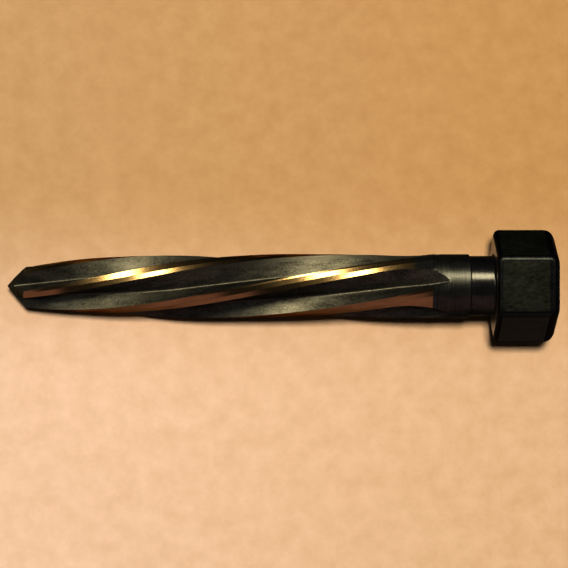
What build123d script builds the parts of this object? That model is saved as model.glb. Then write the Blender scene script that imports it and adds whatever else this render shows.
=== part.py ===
"""Car reamer: a left-hand spiral, five-tooth reamer with a pointed nose and a hexagon head.

The whole tool is one piece of steel. It is built upright along its own axis, point at the origin
and head above it, and then laid down the way it comes to rest on a bench: on the lower flat of its
hexagon and on one of its teeth, with the point towards -X. A station is a distance from the point.
"""

from build123d import *
from math import acos, atan2, atanh, cos, degrees, hypot, radians, sin, sqrt, tan
import os

# Lengths along the axis
FLUTED_LENGTH = 163.4
COLLAR_LENGTH = 7.6
NECK_LENGTH = 8.9
HEAD_LENGTH = 22.6

# Turned blank
CUTTING_DIAMETER = 23.81
GRINDING_ALLOWANCE = 0.04
POINT_HALF_ANGLE = 48.3
NOSE_LENGTH = 75.0
NOSE_ARC_RADIUS = 575.0
COLLAR_DIAMETER = 23.5
NECK_DIAMETER = 22.2
NECK_CHAMFER = 0.4
NECK_FILLET = 1.0

# Teeth and the flutes between them
TOOTH_COUNT = 5
HELIX_ANGLE = 11.3
EDGE_CLOCKING = 45.0
CLOCKING_STATION = 60.0
RAKE_LEAN = 14.0
WEB_RADIUS_AT_POINT = 2.7
WEB_RADIUS = 6.3
WEB_TAPER_LENGTH = 62.0
ROOT_FILLET = 0.7
FLUTING_CUTTER_RADIUS = 50.0

# Ground land behind each cutting edge: a margin, then a deeper relief down to the heel
LAND_ANGLE = 21.0
MARGIN_ANGLE = 12.0
MARGIN_ANGLE_AT_POINT = 5.0
MARGIN_TAPER_LENGTH = 45.0
MARGIN_DROP = 0.18
HEEL_DROP = 0.34
LAND_SETBACK = 4.9
LAND_END_SLOPE_LENGTH = 1.7

# Hexagon head
HEX_SIDES = 6
HEX_ACROSS_FLATS = 36.51
FRONT_ROUNDING = 2.0
BACK_ROUNDING = 4.0
SIDE_ROUNDING = 2.5

# Lathe centre in the head's end face
CENTRE_MOUTH_DIAMETER = 6.7
CENTRE_PILOT_DIAMETER = 3.15
CENTRE_CONE_ANGLE = 60.0
CENTRE_DEPTH = 7.0

# How far a cutter reaches past the metal that it removes, and how far apart its sections lie
OVERCUT = 3.0
SECTION_SPACING = 8.0
RUNOUT_SPACING = 5.0

BODY_RADIUS = CUTTING_DIAMETER / 2 + GRINDING_ALLOWANCE
COLLAR_RADIUS = COLLAR_DIAMETER / 2
NECK_START = FLUTED_LENGTH + COLLAR_LENGTH
HEAD_START = NECK_START + NECK_LENGTH
TOOL_LENGTH = HEAD_START + HEAD_LENGTH
LAND_END = FLUTED_LENGTH - LAND_SETBACK
TOOTH_PITCH = 360 / TOOTH_COUNT


def nose_radius(station):
    """Radius of the turned blank, as if its convex nose ran on to the front without the point."""
    back = max(NOSE_LENGTH - station, 0.0)
    return BODY_RADIUS - NOSE_ARC_RADIUS + sqrt(NOSE_ARC_RADIUS**2 - back**2)


def shoulder_station():
    """Station where the point's cone meets the nose arc."""
    slope = tan(radians(POINT_HALF_ANGLE))
    centre = BODY_RADIUS - NOSE_ARC_RADIUS
    a = 1 + slope**2
    b = NOSE_LENGTH + slope * centre
    c = NOSE_LENGTH**2 + centre**2 - NOSE_ARC_RADIUS**2
    return (b + sqrt(b**2 - a * c)) / a


def ramp(station, length, first, last):
    """Value that changes evenly from first at the point to last at a length from it."""
    share = min(max(station / length, 0.0), 1.0)
    return first + (last - first) * share


def turn(station):
    """Angle that a line at the helix angle has turned through, counted from the nose's end.

    The nose arc is taken as the parabola that touches it, so that the sum has a closed form.
    """
    slope = tan(radians(HELIX_ANGLE))
    if station >= NOSE_LENGTH:
        return degrees(slope * (station - NOSE_LENGTH) / BODY_RADIUS)
    reach = sqrt(2 * NOSE_ARC_RADIUS * BODY_RADIUS)
    return -degrees(slope * atanh((NOSE_LENGTH - station) / reach) * reach / BODY_RADIUS)


def polar(radius, angle):
    """Point of a tooth outline at an angle ahead of the cutting edge."""
    return (radius * cos(radians(angle)), radius * sin(radians(angle)))


def onward(start, through, distance):
    """Point on the line from start through a second point, a distance past that point."""
    share = 1 + distance / hypot(through[0] - start[0], through[1] - start[1])
    return tuple(a + (b - a) * share for a, b in zip(start, through))


def pushed_out(point, distance):
    """Point moved away from the axis."""
    return onward((0, 0), point, distance)


def place(outline, station):
    """Carry a tooth outline to its station and clocking.

    In an outline x runs out through the cutting edge and y points the way that the tool turns. Seen
    from the head the tool turns clockwise, so y is mirrored. The first edge's clocking is counted
    from the side that faces up once the tool lies down.
    """
    clocking = radians(180 - EDGE_CLOCKING - turn(station) + turn(CLOCKING_STATION))
    return [
        (x * cos(clocking) + y * sin(clocking), x * sin(clocking) - y * cos(clocking), station)
        for x, y in outline
    ]


def root_point(station):
    """Bottom of the flute, where the leaning rake face meets the web."""
    edge = nose_radius(station)
    web = ramp(station, WEB_TAPER_LENGTH, WEB_RADIUS_AT_POINT, WEB_RADIUS)
    lean = radians(RAKE_LEAN)
    depth = edge * cos(lean) - sqrt(web**2 - (edge * sin(lean)) ** 2)
    return (edge - depth * cos(lean), depth * sin(lean))


def cutter_run(climb):
    """Distance along the axis in which the round fluting cutter climbs by so much."""
    return sqrt(FLUTING_CUTTER_RADIUS**2 - (FLUTING_CUTTER_RADIUS - climb) ** 2)


def cutter_climb(run):
    """Climb of the round fluting cutter after a distance along the axis."""
    return FLUTING_CUTTER_RADIUS - sqrt(FLUTING_CUTTER_RADIUS**2 - max(run, 0.0) ** 2)


def flute_section(station, climb):
    """Vee from one tooth's rake face to the heel of the tooth ahead of it, round at its bottom."""
    edge = polar(nose_radius(station), 0)
    root = root_point(station)
    heel = polar(nose_radius(station) - HEEL_DROP, TOOTH_PITCH - LAND_ANGLE)
    corners = [onward(root, edge, OVERCUT), root, onward(root, heel, OVERCUT)]
    corners = [(x + climb, y) for x, y in corners]
    rake_tip, root, heel_tip = [Vector(*point) for point in place(corners, station)]
    to_rake = (rake_tip - root).normalized()
    to_heel = (heel_tip - root).normalized()
    half_angle = radians(to_rake.get_angle(to_heel) / 2)
    front = root + to_rake * (ROOT_FILLET / tan(half_angle))
    back = root + to_heel * (ROOT_FILLET / tan(half_angle))
    bottom = root + (to_rake + to_heel).normalized() * (ROOT_FILLET / sin(half_angle) - ROOT_FILLET)
    front_arc = TangentArc(front, bottom, tangent=root - front)
    back_arc = TangentArc(back, bottom, tangent=root - back)
    sides = [Line(rake_tip, front), Line(back, heel_tip), Line(heel_tip, rake_tip)]
    return Face(Wire([front_arc, back_arc] + sides))


def flute_cutter():
    """Swept vee that climbs out of the collar at the end of the fluted length."""
    root_x, root_y = root_point(NOSE_LENGTH)
    depth = sqrt(COLLAR_RADIUS**2 - root_y**2) - root_x
    runout = FLUTED_LENGTH - cutter_run(depth)
    end = runout + cutter_run(depth + OVERCUT)
    spots = stations(-OVERCUT, runout, SECTION_SPACING)
    spots += stations(runout, end, RUNOUT_SPACING)[1:]
    return loft([flute_section(station, cutter_climb(station - runout)) for station in spots])


def land_section(station, climb=0.0):
    """Metal outside the margin and the relief of one tooth."""
    ground = nose_radius(station) - GRINDING_ALLOWANCE + climb
    margin_angle = ramp(station, MARGIN_TAPER_LENGTH, MARGIN_ANGLE_AT_POINT, MARGIN_ANGLE)
    edge = polar(ground, 0)
    margin = polar(ground - MARGIN_DROP * margin_angle / MARGIN_ANGLE, -margin_angle)
    heel = polar(ground - HEEL_DROP, -LAND_ANGLE)
    inner = [onward(margin, edge, OVERCUT), margin, onward(margin, heel, ground / 2)]
    outer = [pushed_out(point, 2 * OVERCUT) for point in reversed(inner)]
    return make_face(Polyline(*place(inner + outer, station), close=True))


def land_cutter():
    """Swept grinding cut over one tooth, with a short slope up to the collar at its end."""
    slope_start = LAND_END - LAND_END_SLOPE_LENGTH
    swept = loft([land_section(s) for s in stations(-OVERCUT, slope_start, SECTION_SPACING)])
    slope = loft([land_section(slope_start), land_section(LAND_END, climb=HEEL_DROP)], ruled=True)
    return [swept, slope]


def stations(start, end, spacing):
    """Evenly spaced stations from start to end, at most a spacing apart."""
    gaps = int((end - start) / spacing) + 1
    return [start + (end - start) * i / gaps for i in range(gaps + 1)]


def blank():
    """Turned blank with its point, convex nose, straight body, collar and neck."""
    shoulder = shoulder_station()
    middle = (shoulder + NOSE_LENGTH) / 2
    neck = NECK_DIAMETER / 2
    nose_front = (nose_radius(shoulder), shoulder)
    nose_middle = (nose_radius(middle), middle)
    nose_back = (BODY_RADIUS, NOSE_LENGTH)
    fillet_front = (neck, HEAD_START - NECK_FILLET)
    fillet_back = (neck + NECK_FILLET, HEAD_START)
    outline = Line((0, 0), nose_front)
    outline += ThreePointArc(nose_front, nose_middle, nose_back)
    outline += Polyline(
        nose_back,
        (BODY_RADIUS, LAND_END),
        (COLLAR_RADIUS, LAND_END + BODY_RADIUS - COLLAR_RADIUS),
        (COLLAR_RADIUS, NECK_START - NECK_CHAMFER),
        (COLLAR_RADIUS - NECK_CHAMFER, NECK_START),
        (neck, NECK_START),
        fillet_front,
    )
    outline += RadiusArc(fillet_front, fillet_back, NECK_FILLET)
    outline += Polyline(fillet_back, (0, HEAD_START), (0, 0))
    return revolve(Plane.XZ * make_face(outline), Axis.Z)


def head():
    """Forged hexagon, rounded along its sides and at both ends, with a lathe centre in its end face."""
    hexagon = RegularPolygon(HEX_ACROSS_FLATS / 2, HEX_SIDES, major_radius=False)
    flat_up = Pos(0, 0, HEAD_START) * Rot(0, 0, 180 / HEX_SIDES)
    prism = extrude(flat_up * hexagon, HEAD_LENGTH)
    prism = fillet(prism.edges().filter_by(Axis.Z), SIDE_ROUNDING)
    prism = fillet(prism.edges().group_by(Axis.Z)[0], FRONT_ROUNDING)
    prism = fillet(prism.edges().group_by(Axis.Z)[-1], BACK_ROUNDING)
    return prism - lathe_centre()


def lathe_centre():
    """Countersunk pilot hole that the grinding machine's centre sat in."""
    mouth = CENTRE_MOUTH_DIAMETER / 2
    pilot = CENTRE_PILOT_DIAMETER / 2
    slope = tan(radians(CENTRE_CONE_ANGLE / 2))
    outline = Polyline(
        (0, TOOL_LENGTH),
        (mouth, TOOL_LENGTH),
        (pilot, TOOL_LENGTH - (mouth - pilot) / slope),
        (pilot, TOOL_LENGTH - CENTRE_DEPTH),
        (0, TOOL_LENGTH - CENTRE_DEPTH - pilot * slope),
        close=True,
    )
    return revolve(Plane.XZ * make_face(outline), Axis.Z)


def reamer():
    """The finished tool, upright on its point."""
    body = blank()
    for cutter in [flute_cutter()] + land_cutter():
        body -= [Rot(0, 0, TOOTH_PITCH * tooth) * cutter for tooth in range(TOOTH_COUNT)]
    return body + head()


def rest_tilt():
    """Nose-down angle of the axis when the tool lies on its hexagon and on its teeth.

    The table touches the round front end of the lower flat and the nose arc.
    """
    back = HEAD_START + FRONT_ROUNDING - NOSE_LENGTH
    down = HEX_ACROSS_FLATS / 2 - FRONT_ROUNDING + NOSE_ARC_RADIUS - BODY_RADIUS
    lean = acos((NOSE_ARC_RADIUS - FRONT_ROUNDING) / hypot(back, down))
    return degrees(lean - atan2(back, down))


def lay_down(tool):
    """Lay the tool on the table, point towards -X, with the origin under its middle."""
    lying = Rot(0, 90 - rest_tilt(), 0) * tool
    box = lying.bounding_box()
    return Pos(-box.center().X, -box.center().Y, -box.min.Z) * lying


os.makedirs("parts", exist_ok=True)
export_step(lay_down(reamer()), "parts/reamer.step")
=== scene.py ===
"""Looks of the car reamer: bright ground lands on a black tool that lies on a pale, warm table.

The tool is rebuilt as one fine mesh around its own axis. A station is a distance in millimetres from
the point, and a clock angle is in degrees from the side that faces up, towards the row's +Y.
"""

import math

import bmesh
import bpy
from mathutils import Matrix, Vector


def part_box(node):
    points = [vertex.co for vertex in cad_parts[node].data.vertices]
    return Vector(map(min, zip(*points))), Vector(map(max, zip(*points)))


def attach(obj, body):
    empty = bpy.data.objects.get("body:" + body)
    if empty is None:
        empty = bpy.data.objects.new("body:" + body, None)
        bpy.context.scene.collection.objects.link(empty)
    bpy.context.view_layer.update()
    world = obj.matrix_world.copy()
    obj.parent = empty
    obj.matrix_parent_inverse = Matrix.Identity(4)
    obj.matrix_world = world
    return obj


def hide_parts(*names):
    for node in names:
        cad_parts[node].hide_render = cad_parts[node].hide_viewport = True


MM = 0.001

# The solid's driving dimensions, in millimetres and degrees
FLUTED_LENGTH = 163.4
COLLAR_LENGTH = 7.6
NECK_LENGTH = 8.9
HEAD_LENGTH = 22.6
BODY_RADIUS = 11.945
GRINDING_ALLOWANCE = 0.04
POINT_HALF_ANGLE = 48.3
NOSE_LENGTH = 75.0
NOSE_ARC_RADIUS = 575.0
COLLAR_RADIUS = 11.75
NECK_RADIUS = 11.1
NECK_CHAMFER = 0.4
NECK_FILLET = 1.0
TOOTH_COUNT = 5
HELIX_ANGLE = 11.3
EDGE_CLOCKING = 45.0
CLOCKING_STATION = 60.0
RAKE_LEAN = 14.0
WEB_RADIUS_AT_POINT = 2.7
WEB_RADIUS = 6.3
WEB_TAPER_LENGTH = 62.0
ROOT_FILLET = 0.7
FLUTING_CUTTER_RADIUS = 50.0
LAND_ANGLE = 21.0
MARGIN_ANGLE = 12.0
MARGIN_ANGLE_AT_POINT = 5.0
MARGIN_TAPER_LENGTH = 45.0
MARGIN_DROP = 0.18
HEEL_DROP = 0.34
LAND_SETBACK = 4.9
LAND_END_SLOPE_LENGTH = 1.7
HEX_SIDES = 6
HEX_ACROSS_FLATS = 36.51
FRONT_ROUNDING = 2.0
BACK_ROUNDING = 4.0
SIDE_ROUNDING = 2.5
CENTRE_MOUTH_RADIUS = 3.35
CENTRE_PILOT_RADIUS = 1.575
CENTRE_CONE_ANGLE = 60.0
CENTRE_DEPTH = 7.0

# Facet that leads each margin; it is too fine for the solid, and it grows in along the nose
LEAD_ANGLE = 3.0
LEAD_DROP = 0.08
LEAD_START = 50.0
LEAD_GROWTH = 35.0
LEAST_LEAD = 0.02

# Station where each tooth's bright grinding stops, and stations between which the nose's wear fades
GROUND_ENDS = (157.4, 156.3, 157.0, 156.8, 150.3)
WORN_NOSE = (45.0, 80.0)

NECK_START = FLUTED_LENGTH + COLLAR_LENGTH
HEAD_START = NECK_START + NECK_LENGTH
TOOL_LENGTH = HEAD_START + HEAD_LENGTH
LAND_END = FLUTED_LENGTH - LAND_SETBACK
SLOPE_START = LAND_END - LAND_END_SLOPE_LENGTH
COLLAR_START = LAND_END + BODY_RADIUS - COLLAR_RADIUS
TOOTH_PITCH = 360 / TOOTH_COUNT
FLAT = HEX_ACROSS_FLATS / 2

# Columns of the mesh between the features of one tooth, from its heel round to the next heel. The
# relief, the margin and the leading facet are the ground intervals. TOP is the feature at the
# cutting edge, FRONT and BACK are the ends of the root's fillet.
TOOTH_COLUMNS = (6, 3, 6, 3, 1, 2, 2, 4, 6, 7)
GROUND_INTERVALS = (1, 3, 5)
TOP, FRONT, BACK, NEXT_HEEL = 7, 8, 9, 10

# Columns of the mesh on each flat and each corner of the hexagon
FLAT_COLUMNS = 12
CORNER_COLUMNS = 6

# Steps between rings, in millimetres along the axis and in degrees round a fillet or rounding
POINT_STEP = 0.12
BODY_STEP = 0.5
LAND_END_STEP = 0.17
TURNED_STEP = 0.1
COLLAR_STEP = 1.0
NECK_STEP = 1.2
HEAD_STEP = 1.5
FILLET_STEP = 15
ROUNDING_STEP = 10

# Rings over the runout crowd towards the flutes' end; those on the bare cone stand by themselves
RUNOUT_RINGS = 45
RUNOUT_CROWDING = 1.6
CONE_STATIONS = (0.3, 1.0, 1.7)

# How far rings stand off: before the flutes' start, past their end, behind it on the collar,
# behind the neck's corner, and around the centre's mouth
START_STANDOFF = 0.2
END_STANDOFF = 0.02
COLLAR_STANDOFF = 0.5
NECK_STANDOFF = 1.0
MOUTH_STANDOFF = 4.0

# Search for a tooth's edges: halvings, and degrees kept from the rake's lean and the next tooth
HALVINGS = 45
LEAN_MARGIN = 0.1
NEXT_TOOTH_MARGIN = 2

# Points closer than this are one; a crease is sharp past the first angle, any edge past the second
SAME_PLACE = 1e-4
CREASE_ANGLE = 4
SHARP_ANGLE = 40

FINISHES = ("ground", "point", "flute", "turned", "neck", "face", "head", "head_edge")


def cosd(angle):
    return math.cos(math.radians(angle))


def sind(angle):
    return math.sin(math.radians(angle))


def tand(angle):
    return math.tan(math.radians(angle))


def nose_radius(station):
    """Radius of the convex nose and the straight body behind it, as if there were no point."""
    back = max(NOSE_LENGTH - station, 0.0)
    return BODY_RADIUS - NOSE_ARC_RADIUS + math.sqrt(NOSE_ARC_RADIUS**2 - back**2)


def shoulder_station():
    """Station where the point's cone meets the nose."""
    slope = tand(POINT_HALF_ANGLE)
    a = 1 + slope**2
    b = NOSE_LENGTH + slope * (BODY_RADIUS - NOSE_ARC_RADIUS)
    c = NOSE_LENGTH**2 + (BODY_RADIUS - NOSE_ARC_RADIUS) ** 2 - NOSE_ARC_RADIUS**2
    return (b + math.sqrt(b**2 - a * c)) / a


def blank_radius(station):
    """Radius of the turned blank that the flutes and lands are cut from."""
    radius = min(nose_radius(station), station * tand(POINT_HALF_ANGLE))
    return min(radius, max(COLLAR_RADIUS, BODY_RADIUS - max(station - LAND_END, 0.0)))


def turn(station):
    """Angle that the spiral has turned through, counted from the nose's end."""
    slope = tand(HELIX_ANGLE)
    if station >= NOSE_LENGTH:
        return math.degrees(slope * (station - NOSE_LENGTH) / BODY_RADIUS)
    reach = math.sqrt(2 * NOSE_ARC_RADIUS * BODY_RADIUS)
    return -math.degrees(slope * math.atanh((NOSE_LENGTH - station) / reach) * reach / BODY_RADIUS)


def edge_clocking(station):
    """Clock angle of the first tooth's cutting edge."""
    return EDGE_CLOCKING + turn(station) - turn(CLOCKING_STATION)


def ramp(station, length, first, last):
    """Value that changes evenly from first at station 0 to last at a length, and stays so beyond."""
    share = min(max(station / length, 0.0), 1.0)
    return first + (last - first) * share


def polar(radius, angle):
    return (radius * cosd(angle), radius * sind(angle))


def angle_of(point):
    return math.degrees(math.atan2(point[1], point[0]))


def ray_to_line(angle, start, end):
    """Distance from the axis to a line, along a ray at an angle; infinite where they don't meet."""
    dx, dy = end[0] - start[0], end[1] - start[1]
    across = cosd(angle) * dy - sind(angle) * dx
    reach = (start[0] * dy - start[1] * dx) / across if across else math.inf
    return reach if reach > 0 else math.inf


def inside_circle(start, end, radius, low, high):
    """Part of low to high, in degrees, in which a line is nearer to the axis than a radius."""
    dx, dy = end[0] - start[0], end[1] - start[1]
    length = math.hypot(dx, dy)
    distance = (start[0] * dy - start[1] * dx) / length
    middle = math.degrees(math.atan2(-dx / length, dy / length))
    half = math.degrees(math.acos(min(distance / radius, 1.0)))
    first = min(max(middle - half, low), high)
    return first, min(max(middle + half, first), high)


class Tooth:
    """Outline of one tooth and the flute ahead of it at a station, as reaches along rays.

    Angles are in degrees ahead of the cutting edge, the way the tool turns.
    """

    def __init__(self, station):
        self.blank = blank_radius(station)
        edge_radius = nose_radius(station)
        climb = cutter_climb(station - flute_runout())
        root = root_point(station)
        heel = polar(edge_radius - HEEL_DROP, TOOTH_PITCH - LAND_ANGLE)
        self.root = (root[0] + climb, root[1])
        self.rake_tip = (edge_radius + climb, 0.0)
        self.heel_tip = (heel[0] + climb, heel[1])
        self.round_the_root()
        self.has_land = station < LAND_END
        slope = max(station - SLOPE_START, 0.0) / LAND_END_SLOPE_LENGTH
        ground = edge_radius - GRINDING_ALLOWANCE + HEEL_DROP * slope
        margin_angle = ramp(station, MARGIN_TAPER_LENGTH, MARGIN_ANGLE_AT_POINT, MARGIN_ANGLE)
        self.margin_angle = -margin_angle
        self.margin = polar(ground - MARGIN_DROP * margin_angle / MARGIN_ANGLE, -margin_angle)
        share = ramp(station - LEAD_START, LEAD_GROWTH, LEAST_LEAD, 1.0)
        self.lead_angle = -LEAD_ANGLE * share
        lead_reach = ray_to_line(self.lead_angle, self.margin, polar(ground, 0))
        self.lead = polar(lead_reach, self.lead_angle)
        self.land_edge = polar(ground - LEAD_DROP * share, 0)
        self.land_heel = polar(ground - HEEL_DROP, -LAND_ANGLE)

    def round_the_root(self):
        """Centre and ends of the fillet between the rake face and the flute's back."""
        to_rake = unit(self.root, self.rake_tip)
        to_heel = unit(self.root, self.heel_tip)
        half = math.acos(to_rake[0] * to_heel[0] + to_rake[1] * to_heel[1]) / 2
        self.front = along(self.root, to_rake, ROOT_FILLET / math.tan(half))
        self.back = along(self.root, to_heel, ROOT_FILLET / math.tan(half))
        bisector = unit((0, 0), (to_rake[0] + to_heel[0], to_rake[1] + to_heel[1]))
        self.centre = along(self.root, bisector, ROOT_FILLET / math.sin(half))

    def flute(self, angle):
        """Reach of the flute's wall."""
        if angle <= angle_of(self.front):
            return ray_to_line(angle, self.root, self.rake_tip)
        if angle >= angle_of(self.back):
            return ray_to_line(angle, self.root, self.heel_tip)
        towards = self.centre[0] * cosd(angle) + self.centre[1] * sind(angle)
        off = self.centre[0] ** 2 + self.centre[1] ** 2 - towards**2
        return towards - math.sqrt(max(ROOT_FILLET**2 - off, 0.0))

    def tooth(self, angle):
        """Reach of the tooth's top: the leading facet, the margin, the relief or the blank."""
        if not self.has_land:
            return self.blank
        if angle > self.lead_angle:
            return min(self.blank, ray_to_line(angle, self.lead, self.land_edge))
        end = self.lead if angle > self.margin_angle else self.land_heel
        return min(self.blank, ray_to_line(angle, self.margin, end))

    def meeting(self, bottom, open_side, shift):
        """Angle where the flute's wall meets the top of the tooth whose edge is a shift ahead."""
        low, high = bottom, open_side
        for _ in range(HALVINGS):
            middle = (low + high) / 2
            if self.flute(middle) < self.tooth(middle - shift):
                low = middle
            else:
                high = middle
        return (low + high) / 2

    def features(self):
        """Angles of the features from the heel of this tooth round to the next tooth's heel."""
        bottom = angle_of(self.root)
        if self.flute(bottom) >= self.blank:
            top = next_heel = bottom
        else:
            top = self.meeting(bottom, LEAN_MARGIN - RAKE_LEAN, 0)
            next_heel = self.meeting(bottom, TOOTH_PITCH - NEXT_TOOTH_MARGIN, TOOTH_PITCH)
        heel = next_heel - TOOTH_PITCH
        margin_angle = min(max(self.margin_angle, heel), top)
        lead_angle = min(max(self.lead_angle, margin_angle), top)
        relief = (margin_angle, margin_angle)
        margin = lead = (lead_angle, lead_angle)
        if self.has_land:
            relief = inside_circle(self.land_heel, self.margin, self.blank, heel, margin_angle)
            margin = inside_circle(self.margin, self.lead, self.blank, margin_angle, lead_angle)
            lead = inside_circle(self.lead, self.land_edge, self.blank, lead_angle, top)
        front = min(max(angle_of(self.front), top), next_heel)
        back = min(max(angle_of(self.back), front), next_heel)
        return [heel, *relief, *margin, *lead, top, front, back, next_heel]


def unit(start, end):
    length = math.hypot(end[0] - start[0], end[1] - start[1])
    return ((end[0] - start[0]) / length, (end[1] - start[1]) / length)


def along(point, direction, distance):
    return (point[0] + direction[0] * distance, point[1] + direction[1] * distance)


def root_point(station):
    """Bottom of the flute before its fillet."""
    edge = nose_radius(station)
    web = ramp(station, WEB_TAPER_LENGTH, WEB_RADIUS_AT_POINT, WEB_RADIUS)
    depth = edge * cosd(RAKE_LEAN) - math.sqrt(web**2 - (edge * sind(RAKE_LEAN)) ** 2)
    return (edge - depth * cosd(RAKE_LEAN), depth * sind(RAKE_LEAN))


def cutter_climb(run):
    """Climb of the round fluting cutter after a distance along the axis."""
    return FLUTING_CUTTER_RADIUS - math.sqrt(FLUTING_CUTTER_RADIUS**2 - max(run, 0.0) ** 2)


def flute_runout():
    """Station where the fluting cutter starts to climb out."""
    root_x, root_y = root_point(NOSE_LENGTH)
    depth = math.sqrt(COLLAR_RADIUS**2 - root_y**2) - root_x
    return FLUTED_LENGTH - math.sqrt(FLUTING_CUTTER_RADIUS**2 - (FLUTING_CUTTER_RADIUS - depth) ** 2)


def steps(start, end, spacing):
    """Evenly spaced stations from start up to end, end left out."""
    gaps = max(round((end - start) / spacing), 1)
    return [start + (end - start) * i / gaps for i in range(gaps)]


class Shell:
    """Rings of points around the axis, joined to faces, with their finishes and sharp edges."""

    def __init__(self):
        self.points = []
        self.flow = []
        self.faces = []
        self.finishes = []
        self.creases = set()

    def ring(self, station, columns, twist=0.0):
        """Points of one ring, given as clock angles and radii; neighbours in one place are one."""
        found = []
        for angle, radius in columns:
            point = Vector((station, radius * sind(angle), radius * cosd(angle)))
            if found and (point - self.points[found[-1]]).length < SAME_PLACE:
                found.append(found[-1])
                continue
            if len(found) > 2 and (point - self.points[found[0]]).length < SAME_PLACE:
                found.append(found[0])
                continue
            self.points.append(point)
            self.flow.append((station, math.radians(angle - twist) * BODY_RADIUS, radius))
            found.append(len(self.points) - 1)
        return found

    def strip(self, first, second, finishes):
        """Faces between two rings that have the same columns."""
        count = len(first)
        for i in range(count):
            j = (i + 1) % count
            corners = [first[i], first[j], second[j], second[i]]
            kept = [c for k, c in enumerate(corners) if c != corners[k - 1]]
            if len(set(kept)) == len(kept) > 2:
                self.faces.append(kept)
                self.finishes.append(FINISHES.index(finishes[i]))

    def stitch(self, first, second, finish):
        """Faces between two rings of one size that have different columns."""
        near, far = self.by_angle(first), self.by_angle(second)
        while len(near) > 1 or len(far) > 1:
            corners = [near[0][1], far[0][1]]
            near_is_next = len(far) == 1 or len(near) > 1 and near[1][0] <= far[1][0]
            side = near if near_is_next else far
            side.pop(0)
            self.faces.append([*corners, side[0][1]])
            self.finishes.append(FINISHES.index(finish))

    def by_angle(self, ring):
        """The ring's clock angles and points in order, with the first one again a turn later."""
        spots = {i: math.degrees(math.atan2(self.points[i].y, self.points[i].z)) for i in set(ring)}
        loop = sorted((angle, i) for i, angle in spots.items())
        return loop + [(loop[0][0] + 360, loop[0][1])]

    def crease_ring(self, ring):
        for i, j in zip(ring, ring[1:] + ring[:1]):
            self.creases.add(frozenset((i, j)))

    def crease_columns(self, first, second, columns):
        for i in columns:
            self.creases.add(frozenset((first[i], second[i])))

    def close(self, ring, station, finish):
        """Fan from a ring to a point on the axis."""
        self.points.append(Vector((station, 0, 0)))
        self.flow.append((station, 0.0, 0.0))
        tip = len(self.points) - 1
        for i, j in zip(ring, ring[1:] + ring[:1]):
            if i != j:
                self.faces.append([i, j, tip])
                self.finishes.append(FINISHES.index(finish))


def tooth_finish(number, interval, station):
    """Finish of the columns between two features of one tooth."""
    if interval in GROUND_INTERVALS and station < GROUND_ENDS[number]:
        return "ground"
    if interval >= TOP:
        return "flute"
    return "point" if station < shoulder_station() else "turned"


def fluted_ring(shell, station):
    """One ring over all teeth, and the columns that are features."""
    tooth = Tooth(station)
    marks = tooth.features()
    angles = []
    features = []
    for k, count in enumerate(TOOTH_COLUMNS):
        if k not in (FRONT, BACK):
            features.append(len(angles))
        angles += [marks[k] + (marks[k + 1] - marks[k]) * i / count for i in range(count)]
    reaches = []
    for angle in angles:
        wall = tooth.flute(angle) if angle >= marks[TOP] else math.inf
        top = tooth.tooth(angle) if angle < marks[FRONT] else tooth.blank
        reaches.append(min(wall, top) if marks[NEXT_HEEL] > marks[TOP] else top)
    columns = []
    for number in range(TOOTH_COUNT):
        clocking = edge_clocking(station) + TOOTH_PITCH * number
        columns += [(clocking + angle, reach) for angle, reach in zip(angles, reaches)]
    width = len(angles)
    creased = [f + width * number for number in range(TOOTH_COUNT) for f in features]
    return shell.ring(station, columns, twist=edge_clocking(station)), creased


def fluted_stations():
    """Stations of the rings over the fluted length, closer where the shape changes fast."""
    shoulder = shoulder_station()
    web_start = WEB_RADIUS_AT_POINT / tand(POINT_HALF_ANGLE)
    spots = list(CONE_STATIONS)
    spots += steps(web_start - START_STANDOFF, shoulder, POINT_STEP)
    spots += steps(shoulder, SLOPE_START, BODY_STEP)
    spots += steps(SLOPE_START, LAND_END, LAND_END_STEP)
    spots += steps(LAND_END, COLLAR_START, TURNED_STEP)
    for i in range(RUNOUT_RINGS):
        left = (1 - i / RUNOUT_RINGS) ** RUNOUT_CROWDING
        spots.append(FLUTED_LENGTH - (FLUTED_LENGTH - COLLAR_START) * left)
    return spots + [FLUTED_LENGTH + END_STANDOFF]


def fluted_body(shell):
    """Everything from the point to the end of the flutes; returns the last ring."""
    creased_stations = (shoulder_station(), SLOPE_START, LAND_END, COLLAR_START)
    intervals = [k for k, count in enumerate(TOOTH_COLUMNS) for _ in range(count)]
    last = before = None
    for station in fluted_stations():
        ring, creased = fluted_ring(shell, station)
        if last is None:
            shell.close(ring, 0.0, "point")
        else:
            middle = (station + before) / 2
            finishes = [tooth_finish(n, k, middle) for n in range(TOOTH_COUNT) for k in intervals]
            shell.strip(last, ring, finishes)
            shell.crease_columns(last, ring, creased)
        if any(math.isclose(station, creased_station) for creased_station in creased_stations):
            shell.crease_ring(ring)
        last, before = ring, station
    return last


def hexagon(apothem):
    """Clock angles and reaches of a hexagon with rounded corners, one flat and corner at a time."""
    half_turn = 180 / HEX_SIDES
    half_flat = (apothem - SIDE_ROUNDING) * tand(half_turn)
    corner_centre = (apothem - SIDE_ROUNDING) / cosd(half_turn)
    columns = []
    for side in range(HEX_SIDES):
        middle = 2 * half_turn * side
        for i in range(FLAT_COLUMNS):
            spot = (apothem, -half_flat + 2 * half_flat * i / FLAT_COLUMNS)
            columns.append((middle + angle_of(spot), math.hypot(*spot)))
        for i in range(CORNER_COLUMNS):
            swing = -half_turn + 2 * half_turn * i / CORNER_COLUMNS
            spot = (corner_centre + SIDE_ROUNDING * cosd(swing), SIDE_ROUNDING * sind(swing))
            columns.append((middle + half_turn + angle_of(spot), math.hypot(*spot)))
    return columns


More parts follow.
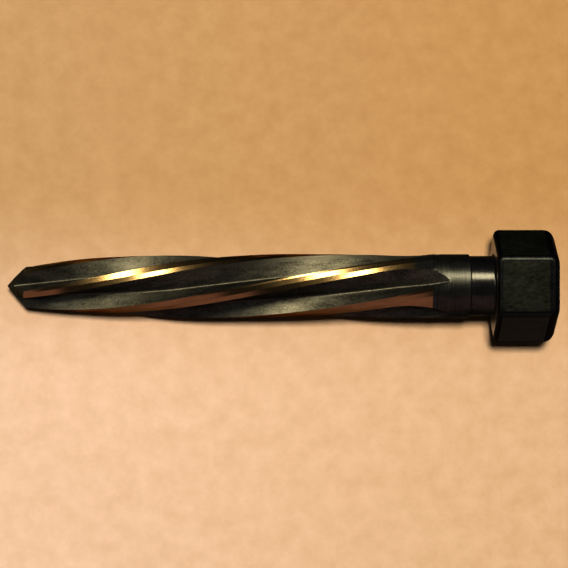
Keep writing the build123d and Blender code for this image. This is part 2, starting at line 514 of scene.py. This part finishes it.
def head_profile():
    """Stations of the head's rings, and their reach to the flats."""
    profile = []
    for swing in range(0, 91, ROUNDING_STEP):
        station = HEAD_START + FRONT_ROUNDING * (1 - cosd(swing))
        profile.append((station, FLAT - FRONT_ROUNDING * (1 - sind(swing))))
    first, last = HEAD_START + FRONT_ROUNDING, TOOL_LENGTH - BACK_ROUNDING
    profile += [(station, FLAT) for station in steps(first, last, HEAD_STEP)[1:]]
    for swing in range(90, -1, -ROUNDING_STEP):
        station = TOOL_LENGTH - BACK_ROUNDING * (1 - cosd(swing))
        profile.append((station, FLAT - BACK_ROUNDING * (1 - sind(swing))))
    return profile


def centre_profile():
    """Profile of the end face around the lathe centre, and of the centre down to its bottom."""
    slope = tand(CENTRE_CONE_ANGLE / 2)
    return [
        (TOOL_LENGTH, CENTRE_MOUTH_RADIUS + MOUTH_STANDOFF),
        (TOOL_LENGTH, CENTRE_MOUTH_RADIUS),
        (TOOL_LENGTH - (CENTRE_MOUTH_RADIUS - CENTRE_PILOT_RADIUS) / slope, CENTRE_PILOT_RADIUS),
        (TOOL_LENGTH - CENTRE_DEPTH, CENTRE_PILOT_RADIUS),
    ]


def collar_end():
    """Profile of the chamfered step from the collar down to the neck."""
    return [
        (NECK_START - NECK_CHAMFER, COLLAR_RADIUS),
        (NECK_START, COLLAR_RADIUS - NECK_CHAMFER),
        (NECK_START, NECK_RADIUS),
    ]


def shank_profile():
    """Profile of the collar, the neck and its fillet up to the head's front face."""
    collar = steps(FLUTED_LENGTH + COLLAR_STANDOFF, NECK_START - NECK_CHAMFER, COLLAR_STEP)
    neck = steps(NECK_START + NECK_STANDOFF, HEAD_START - NECK_FILLET, NECK_STEP)
    profile = [(station, COLLAR_RADIUS) for station in collar]
    profile += collar_end()
    profile += [(station, NECK_RADIUS) for station in neck]
    for swing in range(0, 91, FILLET_STEP):
        station = HEAD_START - NECK_FILLET * (1 - sind(swing))
        profile.append((station, NECK_RADIUS + NECK_FILLET * (1 - cosd(swing))))
    return profile


def shank_and_head(shell, last):
    """Collar, neck and hexagon head, joined to the last ring of the fluted body."""
    angles = [angle for angle, _ in hexagon(FLAT)]
    corners = ([False] * FLAT_COLUMNS + [True] * CORNER_COLUMNS) * HEX_SIDES
    for number, (station, radius) in enumerate(shank_profile()):
        ring = shell.ring(station, [(angle, radius) for angle in angles])
        if number == 0:
            shell.stitch(last, ring, "turned")
        else:
            shell.strip(last, ring, ["neck" if station > NECK_START else "turned"] * len(ring))
        if (station, radius) in collar_end():
            shell.crease_ring(ring)
        last = ring
    for number, (station, apothem) in enumerate(head_profile()):
        ring = shell.ring(station, hexagon(apothem))
        if number == 0:
            shell.strip(last, ring, ["face"] * len(ring))
            shell.crease_ring(ring)
        else:
            rounded = [corner or apothem < FLAT for corner in corners]
            shell.strip(last, ring, ["head_edge" if edge else "head" for edge in rounded])
        last = ring
    for number, (station, radius) in enumerate(centre_profile()):
        ring = shell.ring(station, [(angle, radius) for angle in angles])
        shell.strip(last, ring, ["head"] * len(ring))
        if number:
            shell.crease_ring(ring)
        last = ring
    drill_tip = CENTRE_PILOT_RADIUS * tand(CENTRE_CONE_ANGLE / 2)
    shell.close(last, TOOL_LENGTH - CENTRE_DEPTH - drill_tip, "head")


def rest_tilt():
    """Nose-down angle of the axis when the tool lies on its hexagon and on its teeth."""
    back = HEAD_START + FRONT_ROUNDING - NOSE_LENGTH
    down = FLAT - FRONT_ROUNDING + NOSE_ARC_RADIUS - BODY_RADIUS
    lean = math.acos((NOSE_ARC_RADIUS - FRONT_ROUNDING) / math.hypot(back, down))
    return math.degrees(lean - math.atan2(back, down))


def tool_frame():
    """Matrix from the tool's millimetres, x along its axis and z up, to the row frame's metres."""
    tilt = rest_tilt()
    low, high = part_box("reamer")
    height = FRONT_ROUNDING + (FLAT - FRONT_ROUNDING) * cosd(tilt)
    height -= (HEAD_START + FRONT_ROUNDING) * sind(tilt)
    place = Matrix.Translation((low.x, (low.y + high.y) / 2, height * MM))
    return place @ Matrix.Rotation(-math.radians(tilt), 4, "Y") @ Matrix.Scale(MM, 4)


def set_normals_and_creases(mesh, creases):
    """Turns faces outwards, and makes creases that bend and all strong bends sharp."""
    form = bmesh.new()
    form.from_mesh(mesh)
    bmesh.ops.recalc_face_normals(form, faces=form.faces)
    for edge in form.edges:
        bend = edge.calc_face_angle() if len(edge.link_faces) == 2 else 0.0
        creased = frozenset(vert.index for vert in edge.verts) in creases
        sharp_past = math.radians(CREASE_ANGLE if creased else SHARP_ANGLE)
        edge.smooth = bend <= sharp_past
    form.to_mesh(mesh)
    form.free()


def make_reamer(materials):
    """The tool as one mesh in the row frame."""
    shell = Shell()
    shank_and_head(shell, fluted_body(shell))
    mesh = bpy.data.meshes.new("reamer_looks")
    mesh.from_pydata(shell.points, [], shell.faces)
    mesh.polygons.foreach_set("material_index", shell.finishes)
    mesh.polygons.foreach_set("use_smooth", [True] * len(mesh.polygons))
    flow = mesh.attributes.new("flow", "FLOAT_VECTOR", "POINT")
    flow.data.foreach_set("vector", [value for spot in shell.flow for value in spot])
    for name in FINISHES:
        mesh.materials.append(materials[name])
    set_normals_and_creases(mesh, shell.creases)
    mesh.transform(tool_frame())
    piece = bpy.data.objects.new("reamer_looks", mesh)
    bpy.context.scene.collection.objects.link(piece)
    return piece


class Nodes:
    """Short names for building one material's node tree."""

    def __init__(self, name):
        self.material = bpy.data.materials.new(name)
        self.material.use_nodes = True
        self.tree = self.material.node_tree
        self.shader = self.tree.nodes["Principled BSDF"]

    def add(self, kind, inputs=None, **settings):
        node = self.tree.nodes.new("ShaderNode" + kind)
        for key, value in settings.items():
            setattr(node, key, value)
        self.fill(node, inputs or {})
        return node

    def fill(self, node, inputs):
        """Sets or links a node's sockets, which are given by name or by place."""
        for key, value in inputs.items():
            if isinstance(value, bpy.types.NodeSocket):
                self.tree.links.new(value, node.inputs[key])
            else:
                node.inputs[key].default_value = value

    def attribute(self, name):
        return self.add("Attribute", attribute_name=name).outputs["Vector"]

    def stretched(self, vector, scale):
        """Coordinates in millimetres made denser by a factor on each axis."""
        node = self.add("VectorMath", {0: vector, 1: scale}, operation="MULTIPLY")
        return node.outputs["Vector"]

    def noise(self, vector, scale=1.0, detail=3.0, roughness=0.55):
        inputs = {"Vector": vector, "Scale": scale, "Detail": detail, "Roughness": roughness}
        return self.add("TexNoise", inputs).outputs["Fac"]

    def remap(self, value, low, high, out_low, out_high):
        """Value remapped from low..high to out_low..out_high and kept between them."""
        inputs = {"Value": value, 1: low, 2: high, 3: out_low, 4: out_high}
        return self.add("MapRange", inputs).outputs["Result"]

    def varied(self, noise, middle, swing):
        """Value that a noise, mostly from 0.3 to 0.7, varies by a swing to both sides of a middle."""
        return self.remap(noise, 0.3, 0.7, middle - swing, middle + swing)

    def smooth_remap(self, value, low, high):
        """Value remapped from low..high to 0..1 with soft ends."""
        inputs = {"Value": value, 1: low, 2: high, 3: 0.0, 4: 1.0}
        return self.add("MapRange", inputs, interpolation_type="SMOOTHSTEP").outputs["Result"]

    def mix(self, share, first, second, blend="MIX"):
        """Mix of two colours; its sockets for colours have the places 0, 6, 7 and, going out, 2."""
        inputs = {0: share, 6: first, 7: second}
        return self.add("Mix", inputs, data_type="RGBA", blend_type=blend).outputs[2]

    def calc(self, operation, first, second):
        return self.add("Math", {0: first, 1: second}, operation=operation).outputs[0]

    def bump(self, height, strength, distance):
        inputs = {"Height": height, "Strength": strength, "Distance": distance}
        return self.add("Bump", inputs).outputs["Normal"]


def ground_steel(name, colour, roughness):
    """Bright ground steel with fine lines across the land."""
    nodes = Nodes(name)
    flow = nodes.attribute("flow")
    lines = nodes.noise(nodes.stretched(flow, (1.8, 0.25, 0.25)), detail=2.0)
    cloud = nodes.noise(nodes.stretched(flow, (0.2, 0.9, 0.9)), detail=4.0)
    dull = tuple(c * 0.8 for c in colour)
    shader_inputs = {
        "Base Color": nodes.mix(nodes.remap(cloud, 0.35, 0.65, 0, 1), (*colour, 1.0), (*dull, 1.0)),
        "Metallic": 1.0,
        "Specular Tint": (0.15, 0.08, 0.04, 1.0),
        "Roughness": nodes.varied(lines, roughness, 0.015),
        "Normal": nodes.bump(lines, strength=0.015, distance=0.00001),
    }
    nodes.fill(nodes.shader, shader_inputs)
    return nodes.material


def black_steel(
    name,
    colour,
    roughness,
    grain,
    bump,
    variation=0.35,
    softness=0.15,
    rim=(0.0, 0.0, 0.0),
    nose_wear=0.0,
):
    """Black oxide on steel: it reflects little, and the cut's marks and handling vary it.

    The grain is how dense the marks are along the tool, around it and outwards. The variation is
    how far the tone swings, and a low softness makes it swing abruptly. The rim is the tint at flat
    angles. The nose's wear is the roughness that it adds.
    """
    nodes = Nodes(name)
    flow = nodes.attribute("flow")
    marks = nodes.noise(nodes.stretched(flow, grain), detail=5.0, roughness=0.65)
    cloud = nodes.noise(nodes.stretched(flow, (0.12, 0.3, 0.3)), detail=4.0)
    mixed = nodes.calc("ADD", nodes.calc("MULTIPLY", marks, 0.6), nodes.calc("MULTIPLY", cloud, 0.4))
    share = nodes.remap(mixed, 0.5 - softness, 0.5 + softness, 0, 1)
    low = tuple(c * (1 - variation) for c in colour)
    high = tuple(c * (1 + variation) for c in colour)
    rough = nodes.varied(marks, roughness, 0.05)
    if nose_wear:
        station = nodes.add("SeparateXYZ", {0: flow}).outputs["X"]
        rough = nodes.calc("ADD", rough, nodes.remap(station, *WORN_NOSE, nose_wear, 0.0))
    shader_inputs = {
        "Base Color": nodes.mix(share, (*low, 1.0), (*high, 1.0)),
        "Metallic": 0.9,
        "Specular Tint": (*rim, 1.0),
        "Roughness": rough,
        "Normal": nodes.bump(marks, strength=bump, distance=0.00004),
    }
    nodes.fill(nodes.shader, shader_inputs)
    return nodes.material


def faced_steel(name, colour, roughness):
    """Smooth black face that mirrors the table when it is seen at a flat angle."""
    nodes = Nodes(name)
    marks = nodes.noise(nodes.stretched(nodes.attribute("flow"), (0.3, 0.3, 3.0)))
    shader_inputs = {
        "Base Color": (*colour, 1.0),
        "IOR": 1.9,
        "Roughness": nodes.varied(marks, roughness, 0.05),
        "Normal": nodes.bump(marks, strength=0.2, distance=0.00002),
    }
    nodes.fill(nodes.shader, shader_inputs)
    return nodes.material


def make_materials():
    """All finishes of the tool, by name."""
    turning_marks = (7.0, 0.1, 0.2)
    return {
        "ground": ground_steel("ground_steel", (0.305, 0.230, 0.124), roughness=0.235),
        "point": black_steel(
            "black_point",
            (0.06, 0.06, 0.045),
            roughness=0.40,
            grain=(2.0, 2.0, 2.0),
            bump=0.3,
        ),
        "flute": black_steel(
            "black_flute",
            (0.061, 0.062, 0.054),
            roughness=0.45,
            grain=(1.5, 2.0, 2.0),
            bump=0.8,
            variation=0.7,
            softness=0.13,
            nose_wear=0.08,
        ),
        "turned": black_steel(
            "black_turned",
            (0.040, 0.043, 0.042),
            roughness=0.34,
            grain=turning_marks,
            bump=0.25,
            variation=0.6,
        ),
        "neck": black_steel(
            "black_neck",
            (0.043, 0.045, 0.046),
            roughness=0.22,
            grain=turning_marks,
            bump=0.25,
            variation=0.5,
        ),
        "face": faced_steel("black_face", (0.02, 0.016, 0.012), roughness=0.3),
        "head": black_steel(
            "black_head",
            (0.0145, 0.017, 0.014),
            roughness=0.46,
            grain=(0.5, 1.6, 1.6),
            bump=0.5,
            variation=0.7,
            rim=(0.80, 0.95, 0.95),
        ),
        "head_edge": black_steel(
            "worn_edge",
            (0.016, 0.018, 0.020),
            roughness=0.30,
            grain=(1.0, 1.0, 1.0),
            bump=0.1,
        ),
    }


def make_sheet(name, corners, material):
    """One flat four-sided face with a material."""
    mesh = bpy.data.meshes.new(name)
    mesh.from_pydata(corners, [], [(0, 1, 2, 3)])
    mesh.materials.append(material)
    sheet = bpy.data.objects.new(name, mesh)
    bpy.context.scene.collection.objects.link(sheet)
    return sheet


def make_table():
    """Pale table top that runs out of the picture. Its colour holds painted light: lighter on the
    near (-Y) side as the light falls off, and lighter towards -X.
    """
    nodes = Nodes("table_top")
    place = nodes.add("TexCoord").outputs["Object"]
    spot = nodes.add("SeparateXYZ", {0: place}).outputs
    cloud = nodes.noise(place, scale=130.0, detail=6.0, roughness=0.65)
    grain = nodes.noise(place, scale=420.0)
    fade_x, fade_y, half = 0.12, 0.04, 3.0
    along_x = nodes.smooth_remap(spot["X"], -fade_x, fade_x)
    painted_falloff_y = nodes.smooth_remap(spot["Y"], -fade_y, fade_y)
    # Painted light: the near (-Y) colours are lighter than the far (+Y) ones, a painted falloff of
    # the light across the table; the -X colours are lighter than the +X ones.
    near = nodes.mix(along_x, (0.775, 0.548, 0.375, 1), (0.675, 0.455, 0.265, 1))
    far = nodes.mix(along_x, (0.530, 0.335, 0.160, 1), (0.515, 0.302, 0.120, 1))
    mottle = nodes.mix(nodes.varied(cloud, 0.5, 0.5), (0.94, 0.92, 0.88, 1), (1.06, 1.08, 1.12, 1))
    shader_inputs = {
        "Base Color": nodes.mix(1.0, nodes.mix(painted_falloff_y, near, far), mottle, blend="MULTIPLY"),
        "Roughness": 0.75,
        "Specular IOR Level": 0.1,
        "Normal": nodes.bump(grain, strength=0.15, distance=0.0002),
    }
    nodes.fill(nodes.shader, shader_inputs)
    corners = [(-half, -half, 0), (half, -half, 0), (half, half, 0), (-half, half, 0)]
    return make_sheet("table_top", corners, nodes.material)


def make_painted_reflection(name, near, far, colour):
    """Flat sheet from a near y out to a far one, which only glossy reflections see. Its colour is a
    painted reflection in the steel, with no real thing there.
    """
    nodes = Nodes(name)
    shader_inputs = {"Base Color": (*colour, 1.0), "Roughness": 1.0, "Specular IOR Level": 0.0}
    nodes.fill(nodes.shader, shader_inputs)
    half, low, high = 0.6, 0.001, 0.002
    corners = [(-half, near, low), (half, near, low), (half, far, high), (-half, far, high)]
    painted_reflection_sheet = make_sheet(name, corners, nodes.material)
    painted_reflection_sheet.visible_camera = False
    painted_reflection_sheet.visible_diffuse = False
    painted_reflection_sheet.visible_shadow = False
    return painted_reflection_sheet


def make_lamp(name, lean, aside, distance, size, power, colour, lights_matt=False):
    """Soft lamp that faces the middle of the table, and is either mirrored or lights matt surfaces.

    It leans from straight up towards +Y and aside towards +X, in degrees. Its size is its width and
    its length.
    """
    width, length = size
    data = bpy.data.lights.new(name, "AREA")
    data.shape = "RECTANGLE"
    data.size = length
    data.size_y = width
    data.energy = power
    data.color = colour
    lamp = bpy.data.objects.new(name, data)
    towards = Vector((sind(aside), cosd(aside) * sind(lean), cosd(aside) * cosd(lean)))
    lamp.location = towards * distance
    lamp.rotation_euler = towards.to_track_quat("Z", "Y").to_euler()
    lamp.visible_glossy = not lights_matt
    lamp.visible_diffuse = lights_matt
    lamp.visible_camera = False
    bpy.context.scene.collection.objects.link(lamp)


def make_camera():
    """Camera straight above the tool and square to its axis, as in the photograph."""
    axis_station = 102.46
    distance = 700.0
    off_axis = 0.74
    data = bpy.data.cameras.new("camera")
    data.sensor_width = 36.0
    data.lens = 119.8
    camera = bpy.data.objects.new("camera", data)
    tool = tool_frame()
    place = tool @ Vector((axis_station, off_axis, distance))
    turned = tool.to_3x3().normalized().to_4x4()
    camera.matrix_world = Matrix.Translation(place) @ turned
    bpy.context.scene.collection.objects.link(camera)
    bpy.context.scene.camera = camera


def light_the_scene():
    """Dim room, lamps and the picture's tone."""
    scene = bpy.context.scene
    scene.view_settings.view_transform = "Standard"
    scene.view_settings.gamma = 0.8
    world = bpy.data.worlds.new("room")
    world.use_nodes = True
    background = world.node_tree.nodes["Background"]
    background.inputs["Color"].default_value = (1.0, 0.90, 0.75, 1.0)
    background.inputs["Strength"].default_value = 0.02
    scene.world = world
    make_lamp("window", 36.5, 0, 1.0, (0.35, 1.3), 29.0, (1.0, 0.84, 0.55))
    make_lamp("glow", 12, 0, 1.2, (0.6, 1.3), 0.35, (1.0, 0.85, 0.6))
    make_lamp("ceiling", 10, 0, 1.6, (0.24, 0.24), 32, (1.0, 0.97, 0.95), lights_matt=True)
    make_lamp("wall", -65, 0, 1.1, (1.2, 1.6), 3.5, (1.0, 0.53, 0.48))
    make_lamp("left", 25, -50, 1.1, (0.5, 0.4), 4.0, (1.0, 0.93, 0.80))
    make_lamp("right", 25, 50, 1.1, (0.5, 0.4), 2.0, (1.0, 0.93, 0.80))


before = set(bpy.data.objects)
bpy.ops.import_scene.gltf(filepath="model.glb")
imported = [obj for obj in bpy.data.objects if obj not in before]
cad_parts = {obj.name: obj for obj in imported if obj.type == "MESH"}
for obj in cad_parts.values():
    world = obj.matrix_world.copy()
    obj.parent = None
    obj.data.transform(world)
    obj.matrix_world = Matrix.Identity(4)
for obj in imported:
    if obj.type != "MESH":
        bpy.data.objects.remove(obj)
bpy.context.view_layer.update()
reamer = make_reamer(make_materials())
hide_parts("reamer")
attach(reamer, "root")
make_table()
# Painted reflections, seen only in the steel: the black sheet paints shade into what the steel
# mirrors on the +Y side, the brown one paints a brown shade into what it mirrors on the -Y side.
make_painted_reflection("painted_dark_reflection", 0.03, 0.9, (0.01, 0.01, 0.01))
make_painted_reflection("painted_brown_reflection", -0.024, -0.9, (0.36, 0.20, 0.13))
light_the_scene()
make_camera()
